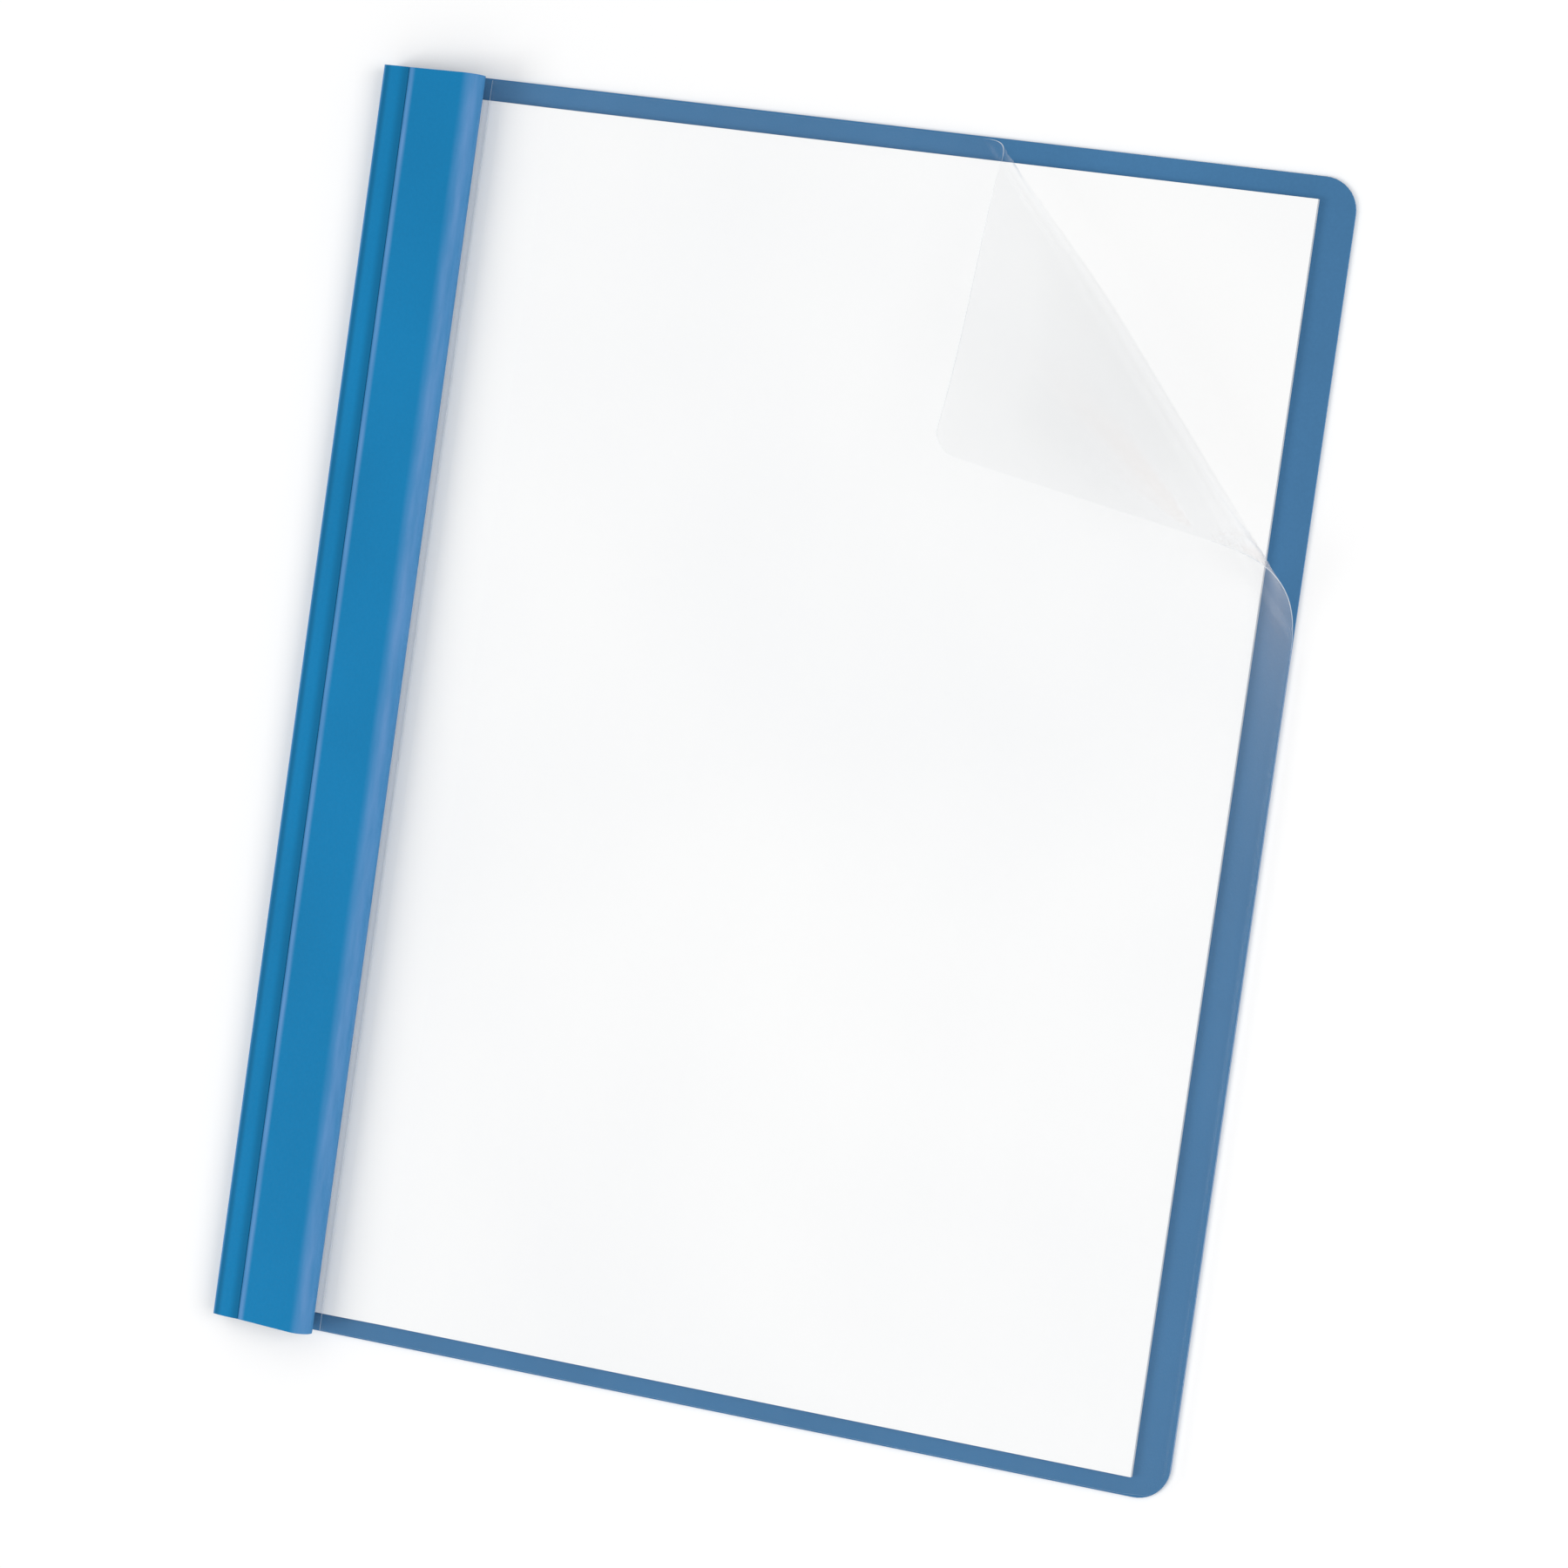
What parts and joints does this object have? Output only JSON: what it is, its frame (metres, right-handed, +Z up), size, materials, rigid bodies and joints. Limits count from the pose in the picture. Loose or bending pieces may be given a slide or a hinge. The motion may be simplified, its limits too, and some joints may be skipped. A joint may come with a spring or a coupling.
{
  "type": "clear-front report cover",
  "caption": "Letter-size report cover: blue card folded at the spine, looped binding strip, clear film front with a curled corner, tin prong fasteners through punched pages.",
  "frame": {"origin": "on the desk, under the middle of the closed cover's box", "axes": "+X from the spine to the open edge, +Y along the spine to the top of the pages, +Z up from the desk to the reader"},
  "size_m": [0.229, 0.2888, 0.0181],
  "materials": {
    "cover_card": "dyed card with a faint leather grain",
    "reinforcing_card": "plain dyed card",
    "page_stack": "uncoated white paper, cut edges",
    "title_page": "uncoated white paper",
    "clear_film": "clear polyester film, slightly hazy",
    "dried_glue": "dried clear glue",
    "tin_plate": "tin-plated steel, slightly brushed"
  },
  "bodies": {
    "back": {"back_cover": "cover_card", "reinforcing_strip": "reinforcing_card", "reinforcement_glue_lines": "dried_glue", "page_stack": "page_stack", "title_page": "title_page", "spine_panel": "cover_card", "fastener_base_foot": "tin_plate", "fastener_base_middle": "tin_plate", "fastener_base_head": "tin_plate"},
    "binding": {"gusset_panel": "cover_card", "binding_strip": "cover_card", "hem_glue_line": "dried_glue", "film_margin": "clear_film", "film_glue_line": "dried_glue"},
    "front": {"clear_cover": "clear_film"},
    "prong_down_foot_leg": {"prong_down_foot": "tin_plate"},
    "prong_up_foot_leg": {"prong_up_foot": "tin_plate"},
    "prong_down_middle_leg": {"prong_down_middle": "tin_plate"},
    "prong_up_middle_leg": {"prong_up_middle": "tin_plate"},
    "prong_down_head_leg": {"prong_down_head": "tin_plate"},
    "prong_up_head_leg": {"prong_up_head": "tin_plate"}
  },
  "joints": [
    {"name": "front_fold", "type": "hinge", "parent": "back", "child": "binding", "pos_m": [-0.11407, 0, 0.0054], "axis": [0, -1, 0], "range_deg": [0, 174]},
    {"name": "film_crease", "type": "hinge", "parent": "binding", "child": "front", "pos_m": [-0.08835, 0, 0.00302], "axis": [0, -1, 0], "range_deg": [0, 90]},
    {"name": "prong_down_foot_bend", "type": "hinge", "parent": "back", "child": "prong_down_foot_leg", "pos_m": [-0.0972, -0.10852, 0.00265], "axis": [-1, 0, 0], "range_deg": [0, 90]},
    {"name": "prong_up_foot_bend", "type": "hinge", "parent": "back", "child": "prong_up_foot_leg", "pos_m": [-0.0972, -0.10808, 0.00265], "axis": [1, 0, 0], "range_deg": [0, 90]},
    {"name": "prong_down_middle_bend", "type": "hinge", "parent": "back", "child": "prong_down_middle_leg", "pos_m": [-0.0972, -0.00057, 0.00265], "axis": [-1, 0, 0], "range_deg": [0, 90]},
    {"name": "prong_up_middle_bend", "type": "hinge", "parent": "back", "child": "prong_up_middle_leg", "pos_m": [-0.0972, -0.00013, 0.00265], "axis": [1, 0, 0], "range_deg": [0, 90]},
    {"name": "prong_down_head_bend", "type": "hinge", "parent": "back", "child": "prong_down_head_leg", "pos_m": [-0.0972, 0.10737, 0.00265], "axis": [-1, 0, 0], "range_deg": [0, 90]},
    {"name": "prong_up_head_bend", "type": "hinge", "parent": "back", "child": "prong_up_head_leg", "pos_m": [-0.0972, 0.10783, 0.00265], "axis": [1, 0, 0], "range_deg": [0, 90]}
  ],
  "couplings": [
    {"joint": "prong_down_foot_bend", "follows": "front_fold", "ratio": 0.517},
    {"joint": "prong_up_foot_bend", "follows": "front_fold", "ratio": 0.517},
    {"joint": "prong_down_middle_bend", "follows": "front_fold", "ratio": 0.517},
    {"joint": "prong_up_middle_bend", "follows": "front_fold", "ratio": 0.517},
    {"joint": "prong_down_head_bend", "follows": "front_fold", "ratio": 0.517},
    {"joint": "prong_up_head_bend", "follows": "front_fold", "ratio": 0.517}
  ]
}
